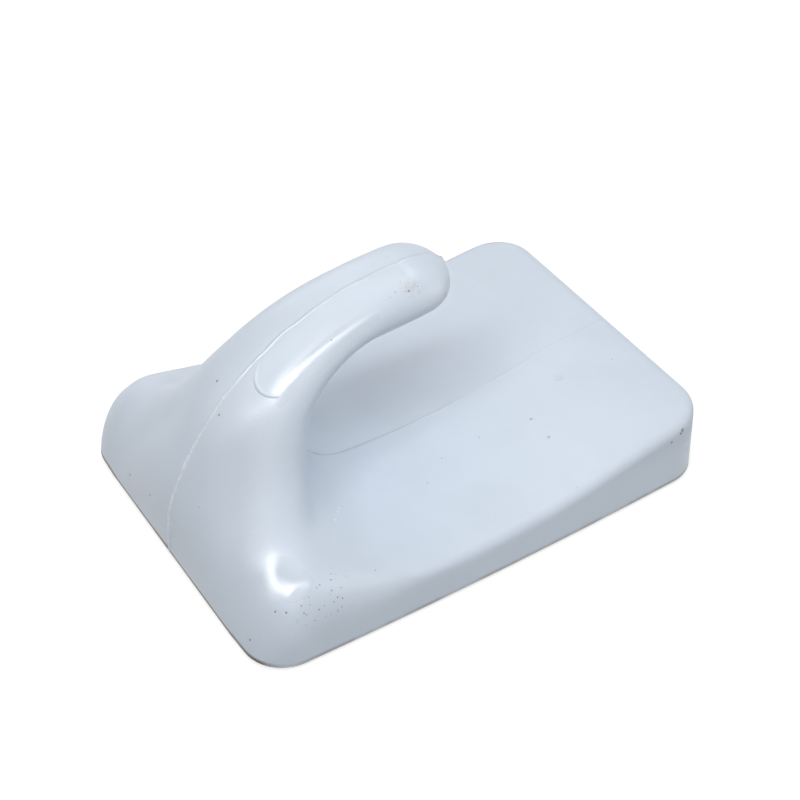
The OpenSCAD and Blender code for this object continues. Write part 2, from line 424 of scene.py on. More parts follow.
@dataclass(frozen=True)
class PartingLine:
    """The flash that the mould's two halves leave along the middle of the moulding.

    Attributes:
        pitch: Distance of the mesh points across the line.
        span: Width on each side of the middle that has points at that pitch.
        margin: Places past that width of two more points.
        ring_pitch: Mean distance of the sections along the line.
        half_width: Half width of the flash.
        dish_h: Height of the flash on the dish.
        dish_wear: Share of that height that is worn off towards the top end.
        wear_at: Share of the plate's half length at which all of that is gone.
        throat_h: Height of the flash in the throat and under the finger.
        back_h: Height of the flash on the top of the finger.
        root_h: Height that it gains down to the root end.
        root_rings: Number of sections over which that height is lost again.
        nib_h: Height that the flash gains over the tip.
        nib_wide: Share of its width that it gains there.
        nib_rings: Number of sections over which it gains both.
        step_h: Drop of one half of the mould against the other.
        step_w: Width of that drop.
        step_reach: Way from the line over which the lower half comes level again.
        dish_x: Place of the line on the dish.
        back_x: Place of the line on the back.
        wander: Sideways wander of the line.
        drift: Waves of that wander.
        swell_h: Share of its height that the flash gains and loses in a slow swell.
        swell: Wave of that swell.
        chatter_h: The same for its fine unevenness.
        chatter: Waves of that unevenness.
    """

    pitch: float = 0.075
    span: float = 1.2
    margin: tuple[float, float] = (0.15, 0.4)
    ring_pitch: float = 0.4
    half_width: float = 0.09
    dish_h: float = 0.075
    dish_wear: float = 0.7
    wear_at: float = 0.6
    throat_h: float = 0.04
    back_h: float = 0.08
    root_h: float = 0.16
    root_rings: int = 50
    nib_h: float = 0.18
    nib_wide: float = 2.2
    nib_rings: int = 12
    step_h: float = 0.17
    step_w: float = 0.42
    step_reach: float = 1.6
    dish_x: float = 0.75
    back_x: float = 0.2
    wander: float = 0.12
    drift: tuple[Wave, Wave] = (Wave(0.37), Wave(0.11, 0.8))
    swell_h: float = 0.35
    swell: Wave = Wave(0.83, 0.4)
    chatter_h: float = 0.4
    chatter: tuple[Wave, Wave] = (Wave(9.1, 1.3), Wave(5.3))

    @property
    def offsets(self) -> list[float]:
        """Places of the mesh points across the line, from the middle."""
        return list(np.arange(0, self.span, self.pitch)) + [self.span + more for more in self.margin]

    def wandering(self, ring: Array) -> Array:
        """Return how far the line wanders sideways at each section."""
        slow, slower = self.drift
        return self.wander * slow.at(ring) * slower.at(ring)

    def uneven(self, run: Array) -> Array:
        """Return the flash's unevenness, about 1, along the line."""
        quick, slow = self.chatter
        return 1 + self.swell_h * self.swell.at(run) + self.chatter_h * (quick.at(run) * slow.at(run))

    def tip_share(self, count: int) -> Array:
        """Return how much each of some sections, the last at the tip, belongs to the nib."""
        return np.clip(np.arange(-count, 0) / self.nib_rings + 1, 0, 1)[:, None]

    def back_crest(self, count: int) -> Array:
        """Return the flash's height on the back for each section from the root to the tip."""
        root = np.clip(1 - np.arange(count) / self.root_rings, 0, 1)[:, None]
        return self.back_h + self.root_h * root + self.nib_h * self.tip_share(count)

    def height(self, x: Array, run: Array, crest: Array, step: Array, wide: Array) -> Array:
        """Return the height of the flash and of the step beside it.

        Args:
            x: Places across the line.
            run: Length along the line of each place.
            crest: Height of the flash at each place.
            step: Drop of one half at each place.
            wide: Half width of the flash at each place.

        Returns:
            The way that each place moves out of the surface.
        """
        ridge = crest * self.uneven(run) * np.exp(-((x / wide) ** 2))
        low_half = 1 - ease(-self.step_w, 0.0, x)
        return ridge - step * low_half * np.exp(-np.abs(x) / self.step_reach)


@dataclass(frozen=True)
class Finish:
    """A finish with its name and its base colour."""

    name: str
    colour: Colour

    def material(self) -> bpy.types.Material:
        """Return the finish as a new node material."""
        material = bpy.data.materials.new(self.name)
        self.dress(Graph(material))
        return material

    def dress(self, graph: "Graph") -> None:
        """Add the nodes of the finish to a graph."""
        graph.surface({"Base Color": self.colour})


@dataclass(frozen=True)
class Wire:
    """A shader socket whose arithmetic adds Math nodes."""

    graph: "Graph"
    socket: bpy.types.NodeSocket | None

    def math(self, operation: str, *others: "Wire | float") -> "Wire":
        """Return the result of a Math node on this socket and others."""
        return self.graph.math(operation, self, *others)

    def __add__(self, other: "Wire | float") -> "Wire":
        """Add a value."""
        return self.math("ADD", other)

    __radd__ = __add__

    def __mul__(self, other: "Wire | float") -> "Wire":
        """Multiply by a value."""
        return self.math("MULTIPLY", other)

    __rmul__ = __mul__

    def __sub__(self, other: "Wire | float") -> "Wire":
        """Subtract a value."""
        return self.math("SUBTRACT", other)

    def __rsub__(self, other: float) -> "Wire":
        """Subtract from a value."""
        return self.graph.math("SUBTRACT", other, self)

    def __gt__(self, other: "Wire | float") -> "Wire":
        """Give 1 where the socket is greater than a value."""
        return self.math("GREATER_THAN", other)

    def fade(self, low: float, high: float, start: float = 0.0, end: float = 1.0) -> "Wire":
        """Return a smooth change from start at low to end at high."""
        values = {"Value": self, "From Min": low, "From Max": high, "To Min": start, "To Max": end}
        return self.graph.node("ShaderNodeMapRange", {"interpolation_type": "SMOOTHSTEP"}, values)

    def rise(self, span: Span) -> "Wire":
        """Return a smooth rise from 0 to 1 over a span in millimetres."""
        return self.fade(span[0] * MM, span[1] * MM)

    def fall(self, span: Span, end: float = 0.0) -> "Wire":
        """Return a smooth fall from 1 to an end value over a span in millimetres."""
        return self.fade(span[0] * MM, span[1] * MM, 1.0, end)


@dataclass(frozen=True)
class Texture:
    """A noise.

    Attributes:
        size: Size of its features, in millimetres.
        detail: Number of its finer layers.
        rough: Strength of its finer layers.
    """

    size: float
    detail: float = 2.0
    rough: float = 0.5


@dataclass(frozen=True)
class Cloud(Texture):
    """A noise that changes between two values over a range.

    Attributes:
        low: Noise up to which it has its first value.
        high: Noise from which it has its last value.
        start: Its first value.
        end: Its last value.
    """

    low: float = 0.35
    high: float = 0.7
    start: float = 0.0
    end: float = 1.0


@dataclass(frozen=True)
class Scatter:
    """Scattered dots.

    Attributes:
        pitch: Distance between the dots, in millimetres.
        radius: Radius of a dot, as a share of that distance.
        left_out: Share of the dots that is left out.
        core: Share of the radius that is fully covered.
    """

    pitch: float
    radius: float
    left_out: float
    core: float = 0.5


@dataclass(frozen=True)
class Spot:
    """A mark at a place of the moulding, in millimetres."""

    place: Point
    radius: float


@dataclass(frozen=True)
class Band:
    """A band along the top of the finger, in millimetres.

    Attributes:
        at: Its place across the finger, over the middle of the plate.
        lean: Change of that place along the finger.
        half_width: Half of its width.
        start: Its end towards the root.
        end: Its end towards the tip.
        fade_in: Half of the length over which it sets in.
        fade_out: Length over which it ends.
        throat: Centre of the throat.
        clear: Way from there to the finger's upper half.
        clear_core: Share of that way on which nothing of the band is left.
        lowest: Height below which the band is gone.
        fade_up: Height over which it sets in above that.
    """

    at: float
    lean: float
    half_width: float
    start: float
    end: float
    fade_in: float = 1.0
    fade_out: float = 8.0
    throat: Point = (0.0, -5.4, 14.0)
    clear: float = 13.2
    clear_core: float = 0.82
    lowest: float = 17.0
    fade_up: float = 3.0


class Graph:
    """The node tree of a material or of the world."""

    def __init__(self, owner: bpy.types.Material | bpy.types.World) -> None:
        """Clear the nodes of a material or of the world."""
        owner.use_nodes = True
        self.tree = owner.node_tree
        self.tree.nodes.clear()

    @cached_property
    def place(self) -> Wire:
        """The object coordinates."""
        return self.node("ShaderNodeTexCoord", output="Object")

    @cached_property
    def axes(self) -> tuple[Wire, Wire, Wire]:
        """The three object coordinates one by one."""
        parts = self.node("ShaderNodeSeparateXYZ", {}, {0: self.place}).socket.node.outputs
        return Wire(self, parts[0]), Wire(self, parts[1]), Wire(self, parts[2])

    @cached_property
    def in_view(self) -> Wire:
        """1 for rays that show the background: straight, mirrored or through glass."""
        rays = ("Is Camera Ray", "Is Glossy Ray", "Is Transmission Ray")
        return self.any_of(self.node("ShaderNodeLightPath", output=ray) for ray in rays)

    def node(
        self,
        kind: str,
        settings: dict[str, Any] | None = None,
        inputs: dict[str | int, Any] | None = None,
        output: str | int = 0,
    ) -> Wire:
        """Add a node.

        Args:
            kind: The node's type.
            settings: The node's own settings.
            inputs: Values or wires of its sockets, by name or number.
            output: The socket to return.

        Returns:
            The chosen output of the new node.
        """
        node = self.tree.nodes.new(kind)
        for name, value in (settings or {}).items():
            setattr(node, name, value)
        for key, value in (inputs or {}).items():
            if isinstance(value, Wire):
                self.tree.links.new(value.socket, node.inputs[key])
            else:
                node.inputs[key].default_value = value
        return Wire(self, node.outputs[output] if len(node.outputs) else None)

    def math(self, operation: str, *values: "Wire | float") -> Wire:
        """Return a Math node on some values."""
        return self.node("ShaderNodeMath", {"operation": operation}, dict(enumerate(values)))

    def noise(self, texture: Texture, place: Wire | None = None) -> Wire:
        """Return a noise on the object coordinates, or on a place worked out from them."""
        values = {
            "Vector": place or self.place,
            "Scale": 1 / (texture.size * MM),
            "Detail": texture.detail,
            "Roughness": texture.rough,
        }
        return self.node("ShaderNodeTexNoise", {"noise_dimensions": "3D"}, values)

    def cloud(self, cloud: Cloud, place: Wire | None = None) -> Wire:
        """Return a noise that changes between two values."""
        return self.noise(cloud, place).fade(cloud.low, cloud.high, cloud.start, cloud.end)

    def cells(self, size: float, output: str) -> Wire:
        """Return an output of a cell pattern whose cells are about a size in millimetres."""
        values = {"Vector": self.place, "Scale": 1 / (size * MM)}
        return self.node("ShaderNodeTexVoronoi", {}, values, output)

    def near(self, spot: Spot, core: float) -> Wire:
        """Return 1 in the core of a spot, a share of its radius, and 0 outside the spot."""
        ends = {0: self.place, 1: tuple(value * MM for value in spot.place)}
        way = self.node("ShaderNodeVectorMath", {"operation": "DISTANCE"}, ends, "Value")
        return way.fall((spot.radius * core, spot.radius))

    def scatter(self, dots: Scatter) -> Wire:
        """Return 1 in scattered dots and 0 elsewhere."""
        seed = self.node("ShaderNodeSeparateColor", {}, {0: self.cells(dots.pitch, "Color")}, 0)
        way = self.cells(dots.pitch, "Distance")
        return way.fade(dots.radius * dots.core, dots.radius, 1.0, 0.0) * (seed > dots.left_out)

    def around(self, spots: Iterable[Spot], core: float = 0.3) -> Wire:
        """Return 1 in the core of some spots and 0 outside them."""
        return self.any_of(self.near(spot, core) for spot in spots)

    def along(self, band: Band) -> Wire:
        """Return 1 in the middle of a band of the finger and 0 past its sides and ends."""
        x, y, z = self.axes
        off = (x - (y * band.lean + band.at * MM)).math("ABSOLUTE")
        side = off.fall((0.0, band.half_width))
        start = y.rise((band.start - band.fade_in, band.start + band.fade_in))
        end = y.fall((band.end - band.fade_out, band.end))
        upper = 1.0 - self.near(Spot(band.throat, band.clear), band.clear_core)
        return side * start * end * upper * z.rise((band.lowest, band.lowest + band.fade_up))

    def any_of(self, masks: Iterable[Wire]) -> Wire:
        """Return the greatest of some masks."""
        wires = list(masks)
        result = wires[0]
        for wire in wires[1:]:
            result = result.math("MAXIMUM", wire)
        return result

    def mix(self, share: Wire | float, a: Wire | Colour, b: Wire | Colour) -> Wire:
        """Return a colour between two colours."""
        return self.node("ShaderNodeMix", {"data_type": "RGBA"}, {0: share, 6: a, 7: b}, 2)

    def bump(self, height: Wire, depth: float, below: Wire | None = None) -> Wire:
        """Return a normal bumped by a height of some depth in millimetres."""
        values: dict[str | int, Any] = {"Height": height, "Distance": depth * MM, "Strength": 1.0}
        if below is not None:
            values["Normal"] = below
        return self.node("ShaderNodeBump", {}, values)

    def surface(self, inputs: dict[str | int, Any]) -> None:
        """Close the graph with a Principled shader."""
        shader = self.node("ShaderNodeBsdfPrincipled", {}, inputs)
        self.node("ShaderNodeOutputMaterial", {}, {"Surface": shader})


@dataclass(frozen=True)
class SatinPlastic(Finish):
    """Moulded plastic: satin with orange peel, polished in places, with specks, stains, painted shade
    along the parting line and a painted highlight on its flash.

    Spans along, across and over the moulding are in millimetres.

    Attributes:
        line: The parting line, with painted shade beside it and, at the root, a painted highlight on its
            flash.
        rim_z: Height of the plate's rim, along which the colour darkens.
        mottle: Clouds of the colour.
        mottle_tone: Brightness of the darker clouds, as a share.
        grime: Colour of the specks and of the darker band along the rim.
        stain: Colour of the stains.
        fresh: Colour of scratches, and of the painted highlight on the flash at the root.
        painted_shade: Colour of the painted shade beside the parting line.
        lone: Specks all over.
        lone_strength: How much of the grime's colour they have.
        pinholes: Places with pinholes.
        holes: The pinholes.
        grimy: Places with fine grime.
        fine: The fine grime.
        dots: Single specks.
        speck_strength: How much of the grime's colour all of these have.
        stains: Stains.
        stain_strength: How much of their colour they have.
        ragged: Raggedness of stains and scratches.
        nicks: Places with a light scratch.
        flash_w: Half width of the painted highlight on the flash.
        flash_y: Span along the plate over which it ends.
        flash_z: Height over the wall face from which it shows.
        glint: Breaks in the painted highlight.
        groove_w: Half width of the painted shade along the line on the dish.
        groove_y: Span along the plate over which it sets in.
        groove_z: Heights over which it ends.
        groove_thin: Span along the plate over which it thins out.
        groove_left: Share of it that is left there.
        groove_shade: How much of the painted shade's colour it has.
        step_w: Half width of the painted shade beside the step on the finger.
        step_off: Its way from the line.
        step_y: Span along the plate over which it sets in.
        step_z: Height over the wall face from which it shows.
        step_shade: How much of the painted shade's colour it has.
        rim_band: Heights over the rim at which its darker band starts to end and ends.
        patchy: Patches of that band.
        patch_strength: How much of the grime's colour they have.
        root_y: Span along the plate over which the band's extra darkness at the root end stops.
        root_band: How much of the grime's colour that extra darkness has.
        polished: Places that handling has polished.
        streak: The polished band along the finger.
        dull: Places that the mould left dull.
        dull_top: The dull band beside the streak.
        dull_edge: Spans across, along and over the wall face over which the plate's edge turns dull.
        satin: Roughness of most of the surface.
        gloss: Roughness of the polished places.
        chalk: Roughness of the dull places.
        smear: What smears add to the roughness.
        peel: The orange peel.
        peel_depth: Depth of the orange peel.
        grain: The fine grain.
        grain_depth: Depth of the fine grain.
        pit_depth: Depth of the specks.
        ior: Index of refraction.
    """

    line: PartingLine = PartingLine()
    rim_z: float = 0.64
    mottle: Cloud = Cloud(9.0, 3.0)
    mottle_tone: float = 0.965
    grime: Colour = (0.20, 0.16, 0.12, 1.0)
    stain: Colour = (0.56, 0.53, 0.42, 1.0)
    fresh: Colour = (0.93, 0.97, 1.0, 1.0)
    painted_shade: Colour = (0.42, 0.47, 0.52, 1.0)
    lone: Scatter = Scatter(2.6, 0.045, 0.6)
    lone_strength: float = 0.7
    pinholes: tuple[Spot, ...] = ()
    holes: Scatter = Scatter(0.52, 0.22, 0.3)
    grimy: tuple[Spot, ...] = ()
    fine: Scatter = Scatter(0.4, 0.24, 0.55)
    dots: tuple[Spot, ...] = ()
    speck_strength: float = 0.75
    stains: tuple[Spot, ...] = ()
    stain_strength: float = 0.4
    ragged: Cloud = Cloud(0.5, 4.0, 0.7, 0.42, 0.62)
    nicks: tuple[Spot, ...] = ()
    flash_w: float = 0.3
    flash_y: Span = (-23.0, -19.0)
    flash_z: float = 2.0
    glint: Cloud = Cloud(0.45, 2.0, 0.6, 0.36, 0.56)
    groove_w: float = 0.2
    groove_y: Span = (-18.0, -12.0)
    groove_z: Span = (7.0, 15.0)
    groove_thin: Span = (0.0, 18.0)
    groove_left: float = 0.3
    groove_shade: float = 0.4
    step_w: float = 0.34
    step_off: float = 0.2
    step_y: Span = (-21.0, -16.0)
    step_z: float = 24.0
    step_shade: float = 0.25
    rim_band: Span = (0.1, 0.55)
    patchy: Cloud = Cloud(6.0, 4.0, 0.6, 0.35, 0.6, 0.25, 0.8)
    patch_strength: float = 0.6
    root_y: Span = (-29.5, -27.0)
    root_band: float = 0.55
    polished: tuple[Spot, ...] = ()
    streak: Band = Band(4.25, -0.053, 1.7, -18.4, -1.0)
    dull: tuple[Spot, ...] = ()
    dull_top: Band = Band(2.3, -0.053, 3.0, -20.5, 1.0)
    dull_edge: tuple[Span, Span, Span] = ((17.5, 20.5), (-16.0, -8.0), (4.5, 6.5))
    satin: float = 0.34
    gloss: float = 0.12
    chalk: float = 0.6
    smear: Cloud = Cloud(5.0, 4.0, 0.6, 0.3, 0.75, -0.03, 0.05)
    peel: Texture = Texture(0.34, 2.0, 0.55)
    peel_depth: float = 0.015
    grain: Texture = Texture(0.12, 1.0)
    grain_depth: float = 0.003
    pit_depth: float = 0.03
    ior: float = 1.52

    def dress(self, graph: Graph) -> None:
        """Add the plastic's nodes to a graph."""
        specks, flash_highlight = self.specks(graph), self.flash_highlight(graph)
        inputs = {
            "Base Color": self.with_specks_and_band(graph, self.marked(graph, flash_highlight), specks),
            "Roughness": self.roughness(graph, flash_highlight),
            "Normal": self.relief(graph, specks),
            "IOR": self.ior,
        }
        graph.surface(inputs)

    def specks(self, graph: Graph) -> Wire:
        """Return a mask of the specks, the pinholes and the fine grime."""
        lone = graph.scatter(self.lone) * self.lone_strength
        holes = graph.scatter(self.holes) * graph.around(self.pinholes)
        fine = graph.scatter(self.fine) * graph.around(self.grimy)
        return graph.any_of([lone, holes, fine, graph.around(self.dots)])

    def flash_highlight(self, graph: Graph) -> Wire:
        """Return a mask of the painted highlight, broken up, on the flash at the root."""
        x, y, z = graph.axes
        flash = self.beside(x, self.line.back_x, self.flash_w) * y.fall(self.flash_y)
        return flash * (z > self.flash_z * MM) * graph.cloud(self.glint)

    def marked(self, graph: Graph, flash_highlight: Wire) -> Wire:
        """Return the plastic's colour with painted shade by the parting line, stains, scratches and a
        painted highlight on the flash.

        Args:
            graph: The graph.
            flash_highlight: Mask of the painted highlight on the flash.

        Returns:
            The colour.
        """
        x, y, z = graph.axes
        darker = (*(value * self.mottle_tone for value in self.colour[:3]), 1.0)
        base = graph.mix(graph.cloud(self.mottle), self.colour, darker)
        # Painted shade: a grey line along the parting line on the dish and beside the mould's step on the
        # finger's back.
        groove = self.beside(x, self.line.dish_x, self.groove_w) * y.rise(self.groove_y)
        groove = groove * z.fall(self.groove_z) * y.fall(self.groove_thin, self.groove_left)
        step = self.beside(x, self.line.back_x - self.step_off, self.step_w) * y.rise(self.step_y)
        step = step * (z > self.step_z * MM)
        line_shade = graph.any_of([groove * self.groove_shade, step * self.step_shade])
        line_shaded = graph.mix(line_shade, base, self.painted_shade)
        ragged = graph.cloud(self.ragged)
        stain = graph.around(self.stains) * ragged * self.stain_strength
        stained = graph.mix(stain, line_shaded, self.stain)
        # Lighter colour: a painted highlight, broken up, on the flash at the root, and real light
        # scratches.
        bright = graph.any_of([flash_highlight, graph.around(self.nicks) * ragged])
        return graph.mix(bright, stained, self.fresh)

    def with_specks_and_band(self, graph: Graph, colour: Wire, specks: Wire) -> Wire:
        """Return a colour with specks and with a darker band along the rim.

        Args:
            graph: The graph.
            colour: The clean colour.
            specks: Mask of the specks.

        Returns:
            The colour with both.
        """
        _, y, z = graph.axes
        # A darker, browner band along the bottom of the rim, in patches and stronger at the root end.
        first, last = self.rim_band
        rim = z.fall((self.rim_z + first, self.rim_z + last))
        patches = graph.cloud(self.patchy) * self.patch_strength + y.fall(self.root_y) * self.root_band
        specks_and_band = graph.any_of([specks * self.speck_strength, rim * patches])
        return graph.mix(specks_and_band, colour, self.grime)

    def roughness(self, graph: Graph, flash_highlight: Wire) -> Wire:
        """Return the roughness, lower where the plastic is polished and higher where it is dull.

        Args:
            graph: The graph.
            flash_highlight: Mask of the painted highlight on the flash, which is glossy too.

        Returns:
            The roughness.
        """
        x, y, z = graph.axes
        across, along, over = self.dull_edge
        edge = x.math("ABSOLUTE").rise(across) * y.rise(along) * z.rise(over)
        polish = graph.any_of([graph.around(self.polished, core=0.0), graph.along(self.streak), flash_highlight])
        dull = graph.any_of([graph.around(self.dull), graph.along(self.dull_top), edge]) * (1.0 - polish)
        smeared = self.satin + graph.cloud(self.smear)
        return smeared - polish * (self.satin - self.gloss) + dull * (self.chalk - self.satin)

    def relief(self, graph: Graph, specks: Wire) -> Wire:
        """Return the normal with orange peel, grain and pits at the specks.

        Args:
            graph: The graph.
            specks: Mask of the specks.

        Returns:
            The normal.
        """
        peel = graph.bump(graph.noise(self.peel), self.peel_depth)
        grain = graph.bump(graph.noise(self.grain), self.grain_depth, peel)
        return graph.bump(1.0 - specks, self.pit_depth, grain)

    @staticmethod
    def beside(x: Wire, at: float, half_width: float, core: float = 0.3) -> Wire:
        """Return 1 at a place across the moulding and 0 past a half width from it."""
        return (x - at * MM).math("ABSOLUTE").fall((core * half_width, half_width))


@dataclass(frozen=True)
class CutFoam(Finish):
    """Closed-cell foam with fine cells, painted shade in their hollows and a slightly yellowed skin.

    Attributes:
        aged: Colour of the yellowed places.
        tint: Clouds of those places.
        tint_strength: How much of that colour they have.
        painted_shade: Colour of the painted shade in the cells' hollows.
        painted_shade_strength: How much of that painted shade they have.
        cell: Size of a cell.
        cell_wall: Shares of a cell's size at which its painted shade starts to end and ends.
        cell_depth: Depth of a cell.
        rough: Roughness.
    """

    aged: Colour = (0.80, 0.76, 0.62, 1.0)
    tint: Cloud = Cloud(6.0, 3.0)
    tint_strength: float = 0.6
    painted_shade: Colour = (0.45, 0.42, 0.34, 1.0)
    painted_shade_strength: float = 0.35
    cell: float = 0.22
    cell_wall: Span = (0.1, 0.6)
    cell_depth: float = 0.06
    rough: float = 0.85

    def dress(self, graph: Graph) -> None:
        """Add the foam's nodes to a graph."""
        cells = graph.cells(self.cell, "Distance")
        skin = graph.mix(graph.cloud(self.tint) * self.tint_strength, self.colour, self.aged)
        # Painted shade: the cells' hollows are darkened.
        base = graph.mix(cells.fade(*self.cell_wall, self.painted_shade_strength, 0.0), skin, self.painted_shade)
        normal = graph.bump(cells, self.cell_depth)
        graph.surface({"Base Color": base, "Roughness": self.rough, "Normal": normal})


@dataclass(frozen=True)
class TackyFilm(Finish):
    """Clear acrylic adhesive on its carrier: glossy, with trapped air and pools.

    Attributes:
        bubble: Colour of the trapped air.
        bubble_strength: How much of that colour it has.
        bubble_pitch: Distance between the bubbles.
        bubble_edge: Shares of the pitch at which a bubble starts to end and ends.
        pool: Pools of the adhesive and what they do to its roughness.
        pool_depth: Depth of the pools.
        ior: Index of refraction.
    """

    bubble: Colour = (0.93, 0.92, 0.86, 1.0)
    bubble_strength: float = 0.5
    bubble_pitch: float = 0.9
    bubble_edge: Span = (0.05, 0.2)
    pool: Cloud = Cloud(2.4, 4.0, 0.6, 0.3, 0.7, 0.14, 0.34)
    pool_depth: float = 0.03
    ior: float = 1.47

    def dress(self, graph: Graph) -> None:
        """Add the film's nodes to a graph."""
        air = graph.cells(self.bubble_pitch, "Distance").fade(*self.bubble_edge, 1.0, 0.0)
        inputs = {
            "Base Color": graph.mix(air * self.bubble_strength, self.colour, self.bubble),
            "Roughness": graph.cloud(self.pool),
            "Normal": graph.bump(graph.noise(self.pool), self.pool_depth),
            "IOR": self.ior,
        }
        graph.surface(inputs)


@dataclass(frozen=True)
class LinerPaper(Finish):
    """Silicone-coated kraft paper with fibres and faint calender marks.

    Attributes:
        fibre: Colour of the fibres.
        strand: The fibres and how much of that colour they have.
        strand_scale: Scale of the fibres along each axis, lower where they are long.
        strand_depth: Depth of the fibres.
        aged: Colour of the aged places.
        age: Clouds of those places and how much of that colour they have.
        sheen: What the same clouds do to the roughness.
    """

    fibre: Colour = (0.52, 0.38, 0.20, 1.0)
    strand: Cloud = Cloud(0.5, 6.0, 0.65, 0.45, 0.72, 0.0, 0.6)
    strand_scale: tuple[float, float, float] = (1.0, 0.22, 1.0)
    strand_depth: float = 0.012
    aged: Colour = (0.74, 0.60, 0.38, 1.0)
    age: Cloud = Cloud(7.0, 3.0, 0.5, 0.3, 0.8, 0.0, 0.25)
    sheen: Cloud = Cloud(7.0, 3.0, 0.5, 0.3, 0.7, 0.42, 0.55)

    def dress(self, graph: Graph) -> None:
        """Add the paper's nodes to a graph."""
        values = {"Vector": graph.place, "Scale": self.strand_scale}
        long_way = graph.node("ShaderNodeMapping", {}, values)
        base = graph.mix(graph.cloud(self.strand, long_way), self.colour, self.fibre)
        inputs = {
            "Base Color": graph.mix(graph.cloud(self.age), base, self.aged),
            "Roughness": graph.cloud(self.sheen),
            "Normal": graph.bump(graph.noise(self.strand, long_way), self.strand_depth),
        }
        graph.surface(inputs)


def finish_piece(
    name: str,
    bm: bmesh.types.BMesh,
    material: bpy.types.Material,
    body: Body,
    sharp: float = 38.0,
) -> bpy.types.Object:
    """Turn a bmesh in millimetres into a piece of the object.

    Args:
        name: Name of the piece.
        bm: Its mesh, which is freed.
        material: Its finish.
        body: The body that it rides on.
        sharp: Angle in degrees past which an edge is sharp.

    Returns:
        The new object, at the origin.
    """
    bmesh.ops.scale(bm, vec=(MM, MM, MM), verts=bm.verts)
    bmesh.ops.recalc_face_normals(bm, faces=bm.faces)
    mesh = bpy.data.meshes.new(name)
    bm.to_mesh(mesh)
    bm.free()
    mesh.shade_smooth()
    mesh.set_sharp_from_angle(angle=math.radians(sharp))
    mesh.materials.append(material)
    piece = bpy.data.objects.new(name, mesh)
    bpy.context.scene.collection.objects.link(piece)
    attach(piece, body.value)
    LOG.info("%s: %d faces on %s", name, len(mesh.polygons), body.value)
    return piece


